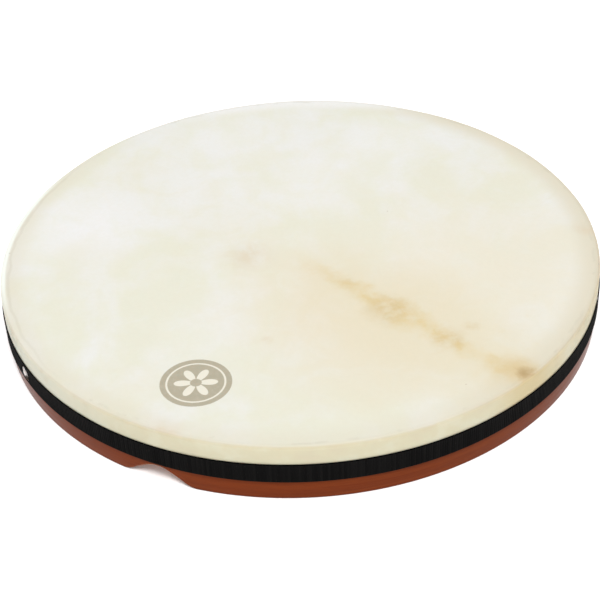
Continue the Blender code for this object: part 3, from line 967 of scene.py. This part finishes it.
def tack_steel():
    """Blued steel with a rolled surface and specks of rust."""
    material, tree, shader = new_material("tack_steel")
    point = place(tree)
    cloud = noise(tree, point, 900.0, 3.0, 0.6)
    rust = between(tree, noise(tree, point, 2300.0, 3.0, 0.65), 0.6, 0.72)
    blued, bare = colour(0.20, 0.20, 0.21), colour(0.36, 0.35, 0.34)
    tone = blend_colours(tree, between(tree, cloud, 0.3, 0.7), blued, bare)
    tone = blend_colours(tree, rust, tone, colour(0.22, 0.09, 0.035))
    feed(tree, shader.inputs["Base Color"], tone)
    feed(tree, shader.inputs["Metallic"], between(tree, rust, 0.0, 1.0, 1.0, 0.2))
    feed(tree, shader.inputs["Roughness"], between(tree, cloud, 0.3, 0.7, 0.32, 0.55))
    feed(tree, shader.inputs["Normal"], bump(tree, cloud, 0.2, 0.03 * MM))
    return material


def dress_tacks():
    """The tacks keep their CAD shape: they are hidden under the ribbon."""
    steel = tack_steel()
    for name, node in NODES.items():
        if name.startswith("head_tack_"):
            node.data.materials.clear()
            node.data.materials.append(steel)


# ---------------------------------------------------------------- studio


def floor_material():
    """Matt white paper. It can't be seen from below, so that the drum's underside can."""
    material, tree, shader = new_material("white_floor")
    grain = noise(tree, place(tree), 6.0, 3.0)
    tone = blend_colours(tree, grain, colour(0.90, 0.90, 0.90), colour(0.92, 0.92, 0.92))
    feed(tree, shader.inputs["Base Color"], tone)
    shader.inputs["Roughness"].default_value = 0.9
    shader.inputs["Specular IOR Level"].default_value = 0.1
    shader.inputs["Emission Color"].default_value = colour(1.0, 1.0, 1.0)
    looked_at = tree.nodes.new("ShaderNodeLightPath").outputs["Is Camera Ray"]
    feed(tree, shader.inputs["Emission Strength"], maths(tree, "MULTIPLY", looked_at, 0.1))
    clear = tree.nodes.new("ShaderNodeBsdfTransparent")
    seen = tree.nodes.new("ShaderNodeMixShader")
    geometry = tree.nodes.new("ShaderNodeNewGeometry")
    feed(tree, seen.inputs[0], geometry.outputs["Backfacing"])
    tree.links.new(shader.outputs[0], seen.inputs[1])
    tree.links.new(clear.outputs[0], seen.inputs[2])
    tree.links.new(seen.outputs[0], tree.nodes["Material Output"].inputs[0])
    return material


def build_floor():
    half = 30.0
    verts = [(-half, -half, 0.0), (half, -half, 0.0), (half, half, 0.0), (-half, half, 0.0)]
    floor = make_object("floor", verts, [(0, 1, 2, 3)], floor_material(), closed=False)
    floor.location.z = -0.05 * MM


def build_world():
    """A soft white sky. Only the camera sees what is below the horizon."""
    world = bpy.data.worlds.new("studio")
    bpy.context.scene.world = world
    world.use_nodes = True
    tree = world.node_tree
    background = tree.nodes["Background"]
    _, _, up = split(tree, tree.nodes.new("ShaderNodeTexCoord").outputs["Generated"])
    sky = between(tree, up, 0.0, 0.9, 0.69, 0.73)
    above = maths(tree, "MULTIPLY", sky, between(tree, up, -0.02, 0.0))
    seen = tree.nodes.new("ShaderNodeLightPath").outputs["Is Camera Ray"]
    background.inputs["Color"].default_value = colour(1.0, 1.0, 1.0)
    feed(tree, background.inputs["Strength"], maths(tree, "MAXIMUM", above, seen))


def add_softbox(name, location, target, size, power):
    light = bpy.data.lights.new(name, "AREA")
    light.shape = "SQUARE"
    light.size = size
    light.energy = power
    lamp = bpy.data.objects.new(name, light)
    lamp.location = location
    lamp.rotation_mode = "QUATERNION"
    lamp.rotation_quaternion = (Vector(target) - Vector(location)).to_track_quat("-Z", "Y")
    bpy.context.scene.collection.objects.link(lamp)


def build_lights():
    """One softbox high in front of the drum: it lights the floor right up to the near rim."""
    add_softbox("key_softbox", (0.3, -4.23, 7.95), (0.0, 0.0, 0.0), 2.7, 670.0)


def build_camera():
    """A long lens above the drum's near side, rolled a little to the right."""
    distance = 1.425
    elevation = math.radians(36.67)
    roll = math.radians(2.797)
    camera = bpy.data.cameras.new("camera")
    camera.sensor_width = 36.0
    camera.lens = 88.68
    camera.shift_x = -0.0020
    camera.shift_y = -0.0095
    camera.clip_start = 0.05
    camera.clip_end = 100.0
    eye = bpy.data.objects.new("camera", camera)
    ahead = Vector((0.0, math.cos(elevation), -math.sin(elevation)))
    eye.location = -ahead * distance
    eye.rotation_mode = "QUATERNION"
    eye.rotation_quaternion = ahead.to_track_quat("-Z", "Y") @ Matrix.Rotation(-roll, 3, "Z").to_quaternion()
    bpy.context.scene.collection.objects.link(eye)
    bpy.context.scene.camera = eye


def build_drum():
    for index in range(3):
        wood = lacquered_wood("hoop_lacquer_" + ("outer", "middle", "inner")[index], PLY_JOINTS[index])
        build_ply(index, wood)
    build_skin(goatskin())
    build_ribbon(grosgrain())
    dress_tacks()


build_drum()
build_floor()
build_world()
build_lights()
build_camera()
bpy.context.scene.view_settings.view_transform = "Standard"
